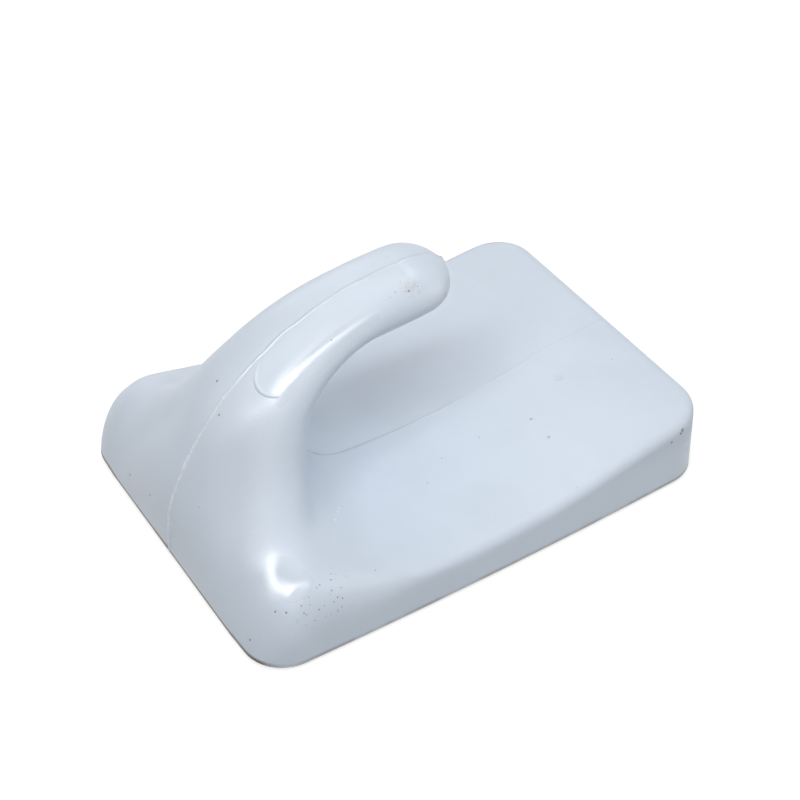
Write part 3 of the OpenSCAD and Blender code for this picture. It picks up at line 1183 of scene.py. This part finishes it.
@dataclass
class Moulding:
    """The plate and finger, one moulding, and the marks that its mould left.

    Attributes:
        form: The outer form.
        line: The mould's parting line.
        rim_z: Height of the plate's rim over the wall face.
        recess: Outline of the pad's recess.
        recess_d: Depth of the pad's recess.
        wall_lean: Lean of the recess's wall.
        top_gap: Way from the plate's top end to the first section.
        root_gap: Way from the plate's root end to the last section on the rim.
        end_inset: Width of the ring of faces round the flat of the top end.
        plate_centre: Height of a plate section's centre, as a share of the dish's height.
        finger_centre: Way from the foot to a section's centre, as a share of its depth.
        corner_rings: Sections round a corner of the plate.
        corner_turn: First and last angle of those sections.
        plate_rings: Sections from the corner to the throat.
        foot_rings: Sections from the throat to the root end's corner.
        turn_rings: Sections round the throat.
        finger_rings: Sections from the throat to the tip.
        tip_rings: Sections of the rounded tip.
        tip_turn: First and last angle of those sections.
        edge_turn: Bearings over which the sections lose the plate's edge.
        edge_shares: Shares of a section's points at the start and end of its edge and at its foot.
        edge_angles: Angles of the start and end of its edge.
        foot_angle: Angle over which a section's last points lie.
        steepest: Highest sine of an angle beside the parting line.
        inner_n: Points from the parting line to the foot or the edge of the back.
        outer_n: Points across half of the back.
        back_edge: Angle of the edge of the finger's back in its sections.
        ray_reach: Longest way to the surface, as a share of a section's own size.
        down_reach: The same for the ways that lead down to the rim.
        sections: The sections from the top end, round the throat, to the tip.
    """

    form: HookForm
    line: PartingLine
    rim_z: float
    recess: RoundedOutline
    recess_d: float = 0.6
    wall_lean: float = 0.12
    top_gap: float = 0.004
    root_gap: float = 0.02
    end_inset: float = 0.25
    plate_centre: float = 0.55
    finger_centre: float = 0.45
    corner_rings: int = 16
    corner_turn: Span = (90.0, 8.0)
    plate_rings: int = 46
    foot_rings: int = 36
    turn_rings: int = 96
    finger_rings: int = 18
    tip_rings: int = 20
    tip_turn: Span = (4.0, 86.0)
    edge_turn: Span = (62.0, 115.0)
    edge_shares: tuple[float, float, float] = (0.12, 0.5, 0.63)
    edge_angles: Span = (37.0, 55.0)
    foot_angle: float = 32.0
    steepest: float = 0.9
    inner_n: int = 60
    outer_n: int = 30
    back_edge: float = 125.0
    ray_reach: float = 1.7
    down_reach: float = 8.0
    sections: list[Section] = field(default_factory=list)

    def plate_section(self, y: float) -> Section:
        """Return an upright section of the plate."""
        centre = np.array([0, y, self.plate_centre * float(self.form.dish_z(np.array(y)))])
        foot, inward = np.array([0, y, 0.0]), np.array([0, 0, 1.0])
        return Section(centre, foot, inward, True, 1.0, self.form.throat_z)

    def foot_section(self, y: float) -> Section:
        """Return a section from the rim towards the throat's centre."""
        form = self.form
        way = np.array([0, form.throat_y - y, form.throat_z])
        length = float(np.linalg.norm(way))
        depth = self.finger_centre * (length - form.throat_r)
        foot = np.array([0, y, 0.0])
        inward = way / length
        return Section(foot + depth * inward, foot, inward, True, 1.0, depth + form.throat_r)

    def turn_section(self, bearing: float) -> Section:
        """Return a section across the finger along a bearing round the throat."""
        form = self.form
        angle = math.radians(bearing)
        inward = np.array([0, math.sin(angle), math.cos(angle)])
        outer = float(form.back_r(np.array(bearing)))
        depth = self.finger_centre * (outer - form.throat_r)
        foot = np.array([0, form.throat_y, form.throat_z]) - outer * inward
        edge = 1 - float(ease(*self.edge_turn, np.array(bearing)))
        return Section(foot + depth * inward, foot, inward, False, edge, depth + form.throat_r)

    def finger_section(self, y: float) -> Section:
        """Return an upright section of the finger past the throat."""
        back, under = float(self.form.back_z(np.array(y))), float(self.form.under_z(np.array(y)))
        centre, foot = np.array([0, y, (back + under) / 2]), np.array([0, y, back])
        return Section(centre, foot, np.array([0, 0, -1.0]), False, 0.0, back - under)

    def plan_sections(self) -> None:
        """Choose the sections from the top end, round the throat, to the tip."""
        form = self.form
        half, corner = form.half_l, form.corner_r
        root = math.degrees(math.atan2(half + form.throat_y, form.throat_z))
        bends = np.radians(np.linspace(*self.corner_turn, self.corner_rings))
        steps = [half - corner * (1 - math.sin(a)) for a in bends]
        plate = [min(y, half - self.top_gap) for y in steps]
        plate += list(np.linspace(steps[-1], form.throat_y, self.plate_rings)[1:-1])
        foot = list(np.linspace(form.throat_y, -steps[-1], self.foot_rings))
        foot += [-min(y, half - self.root_gap) for y in reversed(steps[:-1])]
        turn = list(np.linspace(root, 180, self.turn_rings)[1:])
        finger = list(np.linspace(form.throat_y, form.tip_y, self.finger_rings)[1:])
        tip_bends = np.radians(np.linspace(*self.tip_turn, self.tip_rings))
        tip = [form.tip_y + form.tip_len * math.sin(a) for a in tip_bends]
        self.sections = [self.plate_section(y) for y in plate]
        self.sections += [self.foot_section(y) for y in foot]
        self.sections += [self.turn_section(b) for b in turn]
        self.sections += [self.finger_section(y) for y in finger + tip]

    def angles(self, section: Section, wide: float, deep: float, low: float, last: float) -> list[float]:
        """Return the angles of a section's half, from its inner face to its foot or back.

        Args:
            section: The section.
            wide: Half width at the centre.
            deep: Way from the centre to the inner face.
            low: Way from the centre to the foot or the back.
            last: Angle of the foot's corner, or of the back's edge.

        Returns:
            Angles in degrees, rising from 0.
        """
        seam = [math.degrees(math.asin(min(x / wide, self.steepest))) for x in self.line.offsets]
        shares = np.linspace(0, 1, self.inner_n + 1)[1:]
        stops = (0, *self.edge_angles, last - self.foot_angle, last)
        edge = np.interp(shares, (0, *self.edge_shares, 1), stops)
        spread = last * shares + (edge - last * shares) * section.edge
        inner = seam + list(seam[-1] + spread * (last - seam[-1]) / last)
        if section.on_rim:
            return inner
        back = wide * low / deep
        sines = [min(x / back, self.steepest) for x in reversed(self.line.offsets)]
        far_seam = [180 - math.degrees(math.asin(sine)) for sine in sines]
        return inner + list(np.linspace(last, far_seam[0], self.outer_n + 1)[1:-1]) + far_seam

    def spans(self, sections: Sequence[Section]) -> tuple[Array, Array, Array]:
        """Return each section's half width, its way in to the throat and its way to the foot."""
        form = self.form
        centres = np.array([s.centre for s in sections])
        inward = np.array([s.limit * s.inward for s in sections])
        wide = form.cut(centres, form.across) * form.plate_l
        deep = form.cut(centres, inward) * np.linalg.norm(inward, axis=1)
        low = np.linalg.norm(np.array([s.foot for s in sections]) - centres, axis=1)
        return wide, deep, low

    def foot_angles(self, sections: Sequence[Section]) -> Array:
        """Return the angle of each section's foot corner on the rim, in degrees."""
        wide, deep, low = self.spans(sections)
        feet = np.array([s.foot for s in sections])
        corner = self.form.cut(feet, self.form.across) * self.form.plate_l
        return np.degrees(np.arctan2(corner / wide, -low / deep))

    def half_sections(self, sections: Sequence[Section], root_last: float | None = None) -> Array:
        """Return the points of one half of some sections on the moulding's surface.

        Args:
            sections: The sections, all on the rim or all off it.
            root_last: Angle of the foot's corner at the root end, for sections off the rim.

        Returns:
            The points of each section, from the inner face to the foot's corner or to the back.
        """
        wide, deep, low = self.spans(sections)
        edge = np.array([s.edge for s in sections])
        if root_last is None:
            last, down = self.foot_angles(sections), self.down_reach
        else:
            last, down = self.back_edge + (root_last - self.back_edge) * edge**2, self.ray_reach
        angle = np.radians([self.angles(*row) for row in zip(sections, wide, deep, low, last)])
        inward = np.array([s.inward for s in sections])[:, None]
        side = (wide[:, None] * np.sin(angle))[..., None] * (1, 0, 0)
        ways = side + (deep[:, None] * np.cos(angle))[..., None] * inward
        centres = np.array([s.centre for s in sections])[:, None]
        far = np.where(np.cos(angle) < 0, down, self.ray_reach)
        return centres + self.form.cut(centres, ways, far)[..., None] * ways

    def build(self) -> bmesh.types.BMesh:
        """Return the moulding's mesh, in millimetres over the wall face."""
        self.plan_sections()
        standing = [s for s in self.sections if s.on_rim]
        free = [s for s in self.sections if not s.on_rim]
        root_last = float(self.foot_angles(standing[-1:])[0])
        bm = bmesh.new()
        row = self.lay_plate(bm, self.half_sections(standing))
        self.lay_finger(bm, row, self.half_sections(free, root_last))
        self.close_base(bm)
        bmesh.ops.translate(bm, vec=(0, 0, self.rim_z), verts=bm.verts)
        return bm

    def lay_plate(self, bm: bmesh.types.BMesh, arches: Array) -> list[bmesh.types.BMVert]:
        """Lay a grid over the plate as arches from rim to rim, and close its top end.

        Args:
            bm: The mesh.
            arches: Half sections from the middle of the dish to the rim.

        Returns:
            The points of the last arch, at the root end.
        """
        wholes = np.concatenate([arches[:, ::-1], (arches * (-1, 1, 1))[:, 1:]], axis=1)
        line = self.line
        worn = 1 - line.dish_wear * ease(0.0, line.wear_at * self.form.half_l, wholes[..., 1])
        wholes = self.with_flash(wholes, line.dish_x, line.dish_h * worn, 0.0, line.half_width)
        wholes[0, :, 1] = self.form.half_l
        rows, columns = wholes.shape[0] - 1, wholes.shape[1] - 1
        made = bmesh.ops.create_grid(bm, x_segments=columns, y_segments=rows, size=0.5)["verts"]
        grid: list[list[bmesh.types.BMVert]] = [[None] * (columns + 1) for _ in range(rows + 1)]
        for vert in made:
            i, j = round((vert.co.y + 0.5) * rows), round((vert.co.x + 0.5) * columns)
            vert.co, grid[i][j] = wholes[i, j], vert
        top_end = self.add_sill(bm, grid[0], np.linspace(-1, 1, 2 * self.outer_n)[1:-1])
        flat = bmesh.ops.edgeloop_fill(bm, edges=self.ring_edges(bm, top_end))["faces"]
        bmesh.ops.inset_region(bm, faces=flat, thickness=self.end_inset)
        bmesh.ops.triangulate(bm, faces=flat, ngon_method="BEAUTY")
        return grid[-1]

    def with_flash(
        self,
        points: Array,
        at: Array | float,
        crest: Array | float,
        step: Array | float,
        wide: Array | float,
    ) -> Array:
        """Return sections moved out of the surface by the flash and the step beside it.

        Args:
            points: Points of each section.
            at: Sideways place of the line at each point.
            crest: Height of the flash at each point.
            step: Drop of one half at each point.
            wide: Half width of the flash at each point.

        Returns:
            The moved points.
        """
        line = self.line
        ring = np.arange(len(points))[:, None]
        off = points[..., 0] - (at + line.wandering(ring))
        height = line.height(off, line.ring_pitch * ring, crest, step, wide)
        return points + self.form.normal(points) * height[..., None]

    @staticmethod
    def add_sill(
        bm: bmesh.types.BMesh, arch: list[bmesh.types.BMVert], shares: Iterable[float]
    ) -> list[bmesh.types.BMVert]:
        """Join an arch's feet by points along the rim.

        Args:
            bm: The mesh.
            arch: The arch's points, from foot to foot.
            shares: Places of the new points, from -1 at the last foot to 1 at the first.

        Returns:
            The closed ring of the arch and the new points.
        """
        foot = arch[0].co.copy()
        sill = [bm.verts.new((foot.x * share, foot.y, 0)) for share in shares]
        for pair in zip(arch[-1:] + sill, sill + arch[:1]):
            bm.edges.new(pair)
        return arch + sill

    def lay_finger(self, bm: bmesh.types.BMesh, arch: list[bmesh.types.BMVert], rings: Array) -> None:
        """Close the root end's arch into a ring and draw it along the finger.

        Args:
            bm: The mesh.
            arch: The points of the root end's arch, from rim to rim.
            rings: Half sections from the inner face to the back.
        """
        turn = rings.shape[1] - 1 - (len(arch) - 1) // 2
        wholes = np.concatenate([rings[:, ::-1], (rings * (-1, 1, 1))[:, 1:-1]], axis=1)
        wholes = np.roll(wholes, -turn, axis=1)
        count, points = wholes.shape[:2]
        line = self.line
        on_back = np.arange(points) >= len(arch)
        at = np.where(on_back, line.back_x, line.dish_x)
        crest = np.where(on_back, line.back_crest(count), line.throat_h)
        step = np.where(on_back, line.step_h * (1 - line.tip_share(count)), 0.0)
        wide = line.half_width * (1 + line.nib_wide * line.tip_share(count))
        ring = self.add_sill(bm, arch, wholes[0, len(arch):, 0] / wholes[0, 0, 0])
        for whole in self.with_flash(wholes, at, crest, step, wide):
            ring = self.draw_ring(bm, ring)
            for vert, point in zip(ring, whole):
                vert.co = point
        tip = bmesh.ops.edgeloop_fill(bm, edges=self.ring_edges(bm, ring))["faces"]
        bmesh.ops.poke(bm, faces=tip)

    @staticmethod
    def ring_edges(bm: bmesh.types.BMesh, ring: list[bmesh.types.BMVert]) -> list[bmesh.types.BMEdge]:
        """Return the edges of a closed ring of points."""
        return [bm.edges.get(pair) for pair in zip(ring, ring[1:] + ring[:1])]

    @classmethod
    def draw_ring(cls, bm: bmesh.types.BMesh, ring: list[bmesh.types.BMVert]) -> list[bmesh.types.BMVert]:
        """Extrude a closed ring once and return the new ring in the same order."""
        old = set(ring)
        made = bmesh.ops.extrude_edge_only(bm, edges=cls.ring_edges(bm, ring))["geom"]
        partner = {}
        for vert in (g for g in made if isinstance(g, bmesh.types.BMVert)):
            for edge in vert.link_edges:
                if edge.other_vert(vert) in old:
                    partner[edge.other_vert(vert)] = vert
        return [partner[vert] for vert in ring]

    def close_base(self, bm: bmesh.types.BMesh) -> None:
        """Draw the open base in to the pad's recess, up its wall and shut."""
        loop = [edge for edge in bm.edges if edge.is_boundary]
        for outline, z in ((self.recess, 0.0), (self.recess.inset(self.wall_lean), self.recess_d)):
            made = bmesh.ops.extrude_edge_only(bm, edges=loop)["geom"]
            loop = [g for g in made if isinstance(g, bmesh.types.BMEdge) and g.is_boundary]
            for vert in {v for edge in loop for v in edge.verts}:
                vert.co = outline.point(vert.co)
                vert.co.z = z
        bmesh.ops.edgeloop_fill(bm, edges=loop)


@dataclass(frozen=True)
class WitnessMark:
    """The raised edge that an insert of the mould left on the finger, an arc on its back.

    Attributes:
        centre: Centre of the arc, near the surface.
        radius: Radius of the arc.
        along: Direction along the finger at the centre.
        turn: First and last angle of the arc, from the x axis towards the tip.
        half_width: Half width of the raised edge.
        height: Height of the raised edge.
        sunk: Way that the strip's sides and its underside lie below the surface.
        depth: Length of the rays that find the surface.
        taper: Power of the sine by which the edge rises from its ends; lower is blunter.
        end_width: Width at its ends, as a share of the full width.
        segments: Number of faces along and across it.
    """

    form: HookForm
    rim_z: float
    centre: Point = (3.4, -16.8, 22.9)
    radius: float = 2.65
    along: Point = (0.0, 0.8, 0.6)
    turn: Span = (196.0, 322.0)
    half_width: float = 0.3
    height: float = 0.13
    sunk: float = 0.04
    depth: float = 8.0
    taper: float = 0.6
    end_width: float = 0.3
    segments: tuple[int, int] = (56, 6)

    def build(self) -> bmesh.types.BMesh:
        """Return the mark as a thin strip laid on the finger."""
        bm = bmesh.new()
        columns, rows = self.segments
        made = bmesh.ops.create_grid(bm, x_segments=columns, y_segments=rows, size=0.5)["verts"]
        centre, along = np.array(self.centre), np.array(self.along)
        out = self.depth * self.form.normal(centre)
        share = np.array([vert.co.x + 0.5 for vert in made])
        across = np.array([2 * vert.co.y for vert in made])
        angle = np.radians(self.turn[0] + (self.turn[1] - self.turn[0]) * share)
        taper = np.clip(np.sin(np.pi * share), 0, 1) ** self.taper
        r = self.radius + across * self.half_width * (self.end_width + (1 - self.end_width) * taper)
        ring = (r * np.cos(angle))[:, None] * (1, 0, 0) + (r * np.sin(angle))[:, None] * along
        start = centre + ring - out / 2
        surface = start + self.form.cut(start, out)[:, None] * out
        lift = self.height * taper * (1 - across * across) - self.sunk * across * across
        for vert, point in zip(made, surface + lift[:, None] * self.form.normal(surface)):
            vert.co = point
        bmesh.ops.recalc_face_normals(bm, faces=bm.faces)
        bmesh.ops.solidify(bm, geom=list(bm.faces), thickness=self.sunk)
        bmesh.ops.translate(bm, vec=(0, 0, self.rim_z), verts=bm.verts)
        return bm


@dataclass(frozen=True)
class FoamPad:
    """The cut foam of the mounting pad, its edge drawn in a little by the cutter.

    Attributes:
        low: Lowest corner of its box.
        high: Highest corner of its box.
        radius: Radius of its corners.
        drawn_in: How far its edge is drawn in at half its height.
        rough: How far its edge is torn.
        teeth: Two numbers of tears round the edge.
        slant: How far each of them turns from one level to the next.
        points: Number of points round the edge.
        levels: Heights of its rings, as shares of its thickness.
    """

    low: Vector
    high: Vector
    radius: float = 4.0
    drawn_in: float = 0.07
    rough: float = 0.02
    teeth: tuple[int, int] = (61, 23)
    slant: tuple[float, float] = (2.1, 1.0)
    points: int = 288
    levels: tuple[float, ...] = (0.0, 0.12, 0.35, 0.65, 0.88, 1.0)

    def build(self) -> bmesh.types.BMesh:
        """Return the pad's mesh."""
        size = self.high - self.low
        outline = RoundedOutline(size.x, size.y, self.radius)
        bm = bmesh.new()
        ring = bmesh.ops.create_circle(bm, segments=self.points, radius=max(size))["verts"]
        loop = list({edge for vert in ring for edge in vert.link_edges})
        bottom = loop
        for i, level in enumerate(self.levels):
            if i:
                made = bmesh.ops.extrude_edge_only(bm, edges=loop)["geom"]
                loop = [g for g in made if isinstance(g, bmesh.types.BMEdge) and g.is_boundary]
            waist = math.sin(math.pi * level)
            for vert in {v for edge in loop for v in edge.verts}:
                angle = math.atan2(vert.co.y, vert.co.x)
                tears = [math.sin(n * angle + turn * i) for n, turn in zip(self.teeth, self.slant)]
                drawn = outline.inset(waist * (self.drawn_in + self.rough * math.prod(tears)))
                vert.co = drawn.point(vert.co)
                vert.co.z = self.low.z + level * size.z
        bmesh.ops.edgeloop_fill(bm, edges=bottom)
        bmesh.ops.edgeloop_fill(bm, edges=loop)
        return bm


@dataclass(frozen=True)
class PeelLiner:
    """The release paper, with a finger tab that springs up a little.

    Attributes:
        low: Lowest corner of its box.
        high: Highest corner of its box.
        sheet_l: Length of the sheet without its tab.
        radius: Radius of the sheet's corners.
        tab_w: Width of the tab.
        tab_r: Radius of the tab's corners.
        spring: How far the tab's end springs up.
        touch: Way within which a point lies on the sheet's end.
        columns: Faces across the sheet.
        rows: Faces along the sheet.
        tab_rows: Faces along the tab.
    """

    low: Vector
    high: Vector
    sheet_l: float
    radius: float = 4.8
    tab_w: float = 14.0
    tab_r: float = 2.0
    spring: float = 0.22
    touch: float = 0.01
    columns: int = 48
    rows: int = 72
    tab_rows: int = 6

    def build(self) -> bmesh.types.BMesh:
        """Return the liner's mesh."""
        width, thick = self.high.x - self.low.x, self.high.z - self.low.z
        sheet = RoundedOutline(width, self.sheet_l, self.radius)
        bm = bmesh.new()
        made = bmesh.ops.create_grid(bm, x_segments=self.columns, y_segments=self.rows, size=0.5)["verts"]
        end = self.sheet_l / 2
        for vert in made:
            vert.co = sheet.round_off(Vector((vert.co.x * width, vert.co.y * self.sheet_l, 0)))
        edge = [e for e in bm.edges if e.is_boundary and all(self.at_tab(v.co) for v in e.verts)]
        reach = self.high.y - end
        for i in range(1, self.tab_rows + 1):
            share = i / self.tab_rows
            made = bmesh.ops.extrude_edge_only(bm, edges=edge)["geom"]
            fresh = {g for g in made if isinstance(g, bmesh.types.BMVert)}
            edge = [g for g in made if isinstance(g, bmesh.types.BMEdge) and set(g.verts) <= fresh]
            for vert in fresh:
                vert.co.y = end + reach * share
                vert.co.z = self.spring * share * share
                left = reach * (1 - share)
                vert.co.x *= self.tab_share(left) / self.tab_share(left + reach / self.tab_rows)
        bmesh.ops.recalc_face_normals(bm, faces=bm.faces)
        bmesh.ops.solidify(bm, geom=list(bm.faces), thickness=thick)
        bmesh.ops.translate(bm, vec=(0, 0, self.low.z), verts=bm.verts)
        return bm

    def at_tab(self, place: Vector) -> bool:
        """Return whether a point of the sheet lies where the tab starts."""
        return place.y > self.sheet_l / 2 - self.touch and abs(place.x) < self.tab_w / 2

    def tab_share(self, from_end: float) -> float:
        """Return the tab's width at a distance from its end, as a share of its full width."""
        r = self.tab_r
        lost = r - math.sqrt(max(r * r - max(r - from_end, 0) ** 2, 0))
        return 1 - 2 * lost / self.tab_w


@dataclass(frozen=True)
class StripLamp:
    """A long lamp that faces the object.

    Attributes:
        name: Name of the lamp.
        start: One end of the strip.
        end: Its other end.
        width: Its width.
        glow: How bright its face is.
        mirrored_only: True where only its mirror image shows, so that it adds no fill.
    """

    name: str
    start: Point
    end: Point
    width: float
    glow: float
    mirrored_only: bool = False

    def hang(self) -> None:
        """Add the lamp to the scene."""
        first, last = Vector(self.start) * MM, Vector(self.end) * MM
        middle, along = (first + last) / 2, (last - first).normalized()
        facing = (middle - along * middle.dot(along)).normalized()
        data = bpy.data.lights.new(self.name, "AREA")
        data.shape = "RECTANGLE"
        data.size, data.size_y = self.width * MM, (last - first).length
        data.energy = self.glow * math.pi * data.size * data.size_y
        lamp = bpy.data.objects.new(self.name, data)
        turn = Matrix((along.cross(facing), along, facing)).transposed()
        lamp.matrix_world = Matrix.Translation(middle) @ turn.to_4x4()
        lamp.visible_diffuse = not self.mirrored_only
        bpy.context.scene.collection.objects.link(lamp)


@dataclass
class Studio:
    """The camera, the floor and the lamps.

    Attributes:
        rim_z: Height of the plate's rim, at which the camera's target lies.
        azimuth: Bearing of the camera round the object, in degrees.
        elevation: Height of the camera, in degrees.
        distance: Way from the camera to its target.
        target: Place across and along the plate that the camera looks at.
        lens: Focal length on the full sensor width.
        sensor: Width of the sensor.
        clip: Nearest and farthest way that the camera sees.
        floor_half: Half of the floor's width.
        floor_z: Height of the floor, just clear of the liner.
        floor_tone: How much light the floor gives back.
        floor_lift: Glow that brings the floor to white where the camera sees it.
        sky: Colour of the soft fill from all round.
        sky_glow: How bright the soft fill is.
        lamps: The lamps.
    """

    rim_z: float
    azimuth: float = 57.80
    elevation: float = 41.53
    distance: float = 216.46
    target: tuple[float, float] = (-7.92, 5.53)
    lens: float = 79.24
    sensor: float = 36.0
    clip: Span = (10.0, 20000.0)
    floor_half: float = 3000.0
    floor_z: float = -0.03
    floor_tone: float = 0.5
    floor_lift: float = 0.7
    sky: Colour = (0.94, 0.97, 1.0, 1.0)
    sky_glow: float = 0.05
    lamps: tuple[StripLamp, ...] = (
        StripLamp("near_strip", (66, -365, 400), (85, -150, 400), 55, 8.0),
        StripLamp("near_strip_bent", (85, -150, 400), (190, 85, 400), 55, 7.0),
        StripLamp("cross_strip", (64, -224, 400), (-185, -590, 400), 80, 13.0, mirrored_only=True),
        StripLamp("far_strip", (-99, 140, 400), (-118, -150, 400), 60, 13.0, mirrored_only=True),
        StripLamp("far_strip_bent", (-118, -150, 400), (-234, -509, 400), 80, 13.0, mirrored_only=True),
        StripLamp("far_strip_end", (-234, -509, 400), (-430, -845, 400), 130, 13.0, mirrored_only=True),
        StripLamp("key_panel", (109, -391, 440), (391, -109, 440), 400, 1.8),
        StripLamp("end_panel", (120, 460, 260), (420, 300, 260), 300, 1.9),
        StripLamp("far_panel", (-420, -100, 260), (-420, 200, 260), 300, 1.7),
        StripLamp("top_panel", (-80, -150, 420), (-80, 150, 420), 300, 0.88),
    )

    def camera(self) -> None:
        """Place the camera at the photograph's viewing angle."""
        data = bpy.data.cameras.new("camera")
        data.lens, data.sensor_width = self.lens, self.sensor
        data.clip_start, data.clip_end = (way * MM for way in self.clip)
        camera = bpy.data.objects.new("camera", data)
        az, el = math.radians(self.azimuth), math.radians(self.elevation)
        back = Vector((math.sin(az) * math.cos(el), -math.cos(az) * math.cos(el), math.sin(el)))
        target = Vector((*self.target, self.rim_z))
        camera.location = (target + self.distance * back) * MM
        camera.rotation_euler = (-back).to_track_quat("-Z", "Y").to_euler()
        bpy.context.scene.collection.objects.link(camera)
        bpy.context.scene.camera = camera

    def floor(self) -> None:
        """Lay a pale floor that shows white to the camera and keeps the shadow."""
        bm = bmesh.new()
        bmesh.ops.create_grid(bm, x_segments=1, y_segments=1, size=self.floor_half * MM)
        bmesh.ops.translate(bm, vec=(0, 0, self.floor_z * MM), verts=bm.verts)
        mesh = bpy.data.meshes.new("floor")
        bm.to_mesh(mesh)
        bm.free()
        floor = bpy.data.objects.new("floor", mesh)
        bpy.context.scene.collection.objects.link(floor)
        material = bpy.data.materials.new("pale_floor")
        graph = Graph(material)
        matte = graph.node("ShaderNodeBsdfDiffuse", {}, {"Color": (*[self.floor_tone] * 3, 1.0)})
        lift = graph.node("ShaderNodeEmission", {}, {"Strength": graph.in_view * self.floor_lift})
        both = graph.node("ShaderNodeAddShader", {}, {0: matte, 1: lift})
        graph.node("ShaderNodeOutputMaterial", {}, {"Surface": both})
        mesh.materials.append(material)

    def lights(self) -> None:
        """Hang the lamps and set the world's soft fill, white where it is in view."""
        for lamp in self.lamps:
            lamp.hang()
        world = bpy.data.worlds.new("studio")
        bpy.context.scene.world = world
        graph = Graph(world)
        fill = graph.node("ShaderNodeBackground", {}, {"Color": self.sky, "Strength": self.sky_glow})
        white = graph.node("ShaderNodeBackground", {}, {"Color": (1.0, 1.0, 1.0, 1.0)})
        both = graph.node("ShaderNodeMixShader", {}, {0: graph.in_view, 1: fill, 2: white})
        graph.node("ShaderNodeOutputWorld", {}, {"Surface": both})


PLASTIC = SatinPlastic(
    "moulded_white_plastic",
    (0.74, 0.828, 0.938, 1.0),
    polished=(Spot((16.6, -24.5, 9.2), 3.9), Spot((18.0, -24.3, 8.9), 3.4)),
    dull=(Spot((11.9, -23.3, 11.8), 6.0), Spot((9.5, -22.5, 15.0), 5.0)),
    nicks=(
        Spot((12.0, -15.3, 7.96), 0.3),
        Spot((11.4, -14.8, 7.75), 0.35),
        Spot((10.7, -14.2, 7.5), 0.35),
        Spot((10.1, -13.7, 7.3), 0.3),
    ),
    pinholes=(Spot((20.7, -20.6, 7.5), 3.6), Spot((20.9, -23.6, 6.9), 2.6)),
    grimy=(Spot((3.6, -2.8, 28.2), 1.1), Spot((3.5, -1.0, 28.4), 1.2), Spot((3.7, 0.9, 28.3), 1.3)),
    dots=(
        Spot((-2.23, -21.28, 20.16), 0.22),
        Spot((1.1, -22.92, 18.57), 0.2),
        Spot((-10.05, -29.63, 4.06), 0.22),
        Spot((-4.57, -29.64, 5.42), 0.2),
        Spot((4.05, -0.9, 28.05), 0.2),
        Spot((17.89, -29.33, 2.67), 0.22),
        Spot((19.16, -26.81, 6.76), 0.2),
        Spot((20.05, -26.0, 6.97), 0.2),
        Spot((8.8, 13.0, 6.5), 0.22),
        Spot((12.4, 13.0, 6.5), 0.2),
        Spot((20.74, 25.68, 7.86), 0.34),
        Spot((20.8, 25.42, 7.55), 0.28),
        Spot((20.98, 24.04, 6.96), 0.22),
    ),
    stains=(
        Spot((8.8, 13.0, 6.5), 0.5),
        Spot((12.4, 13.0, 6.5), 0.5),
        Spot((5.6, 19.2, 7.8), 0.9),
        Spot((20.75, 25.7, 7.8), 0.7),
        Spot((21.0, 23.9, 6.9), 0.5),
        Spot((20.7, 26.9, 4.3), 0.6),
        Spot((4.0, -0.4, 28.1), 1.6),
    ),
)
FOAM = CutFoam("pad_foam", (0.86, 0.85, 0.78, 1.0))
FILM = TackyFilm("adhesive_film", (0.80, 0.79, 0.70, 1.0))
PAPER = LinerPaper("liner_paper", (0.70, 0.55, 0.33, 1.0))


def main() -> None:
    """Build the hook's pieces in order and light them."""
    logging.basicConfig(level=logging.INFO)
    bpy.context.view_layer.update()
    bpy.context.scene.view_settings.view_transform = "Standard"
    low, high = node_box("hook_body")
    pad_low, pad_high = node_box("foam_core")
    studio = Studio(rim_z=low.z)
    studio.camera()
    studio.floor()
    studio.lights()

    form = HookForm(plate_l=high.y - low.y, reach=high.z - low.z)
    pad_w, pad_l = pad_high.x - pad_low.x, pad_high.y - pad_low.y
    gap, over, recess_r = 0.5, 0.8, 4.4
    recess = RoundedOutline(pad_w + 2 * gap, pad_l + 2 * gap, recess_r)
    plastic = PLASTIC.material()
    moulding = Moulding(form, PartingLine(), low.z, recess)
    body = finish_piece("moulded_hook", moulding.build(), plastic, Body.HOOK)
    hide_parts("hook_body")
    mark = WitnessMark(form, low.z)
    finish_piece("witness_mark", mark.build(), plastic, Body.HOOK)
    pad = FoamPad(pad_low, pad_high)
    foam = finish_piece("foam_pad", pad.build(), FOAM.material(), Body.HOOK)
    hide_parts("foam_core")
    sheet = PeelLiner(*node_box("release_liner"), sheet_l=pad_l + 2 * over)
    liner = finish_piece("peel_liner", sheet.build(), PAPER.material(), Body.LINER)
    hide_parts("release_liner")
    film = FILM.material()
    for node in ("film_hook", "film_wall"):
        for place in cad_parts[node].material_slots:
            place.material = film


if __name__ == "__main__":
    main()
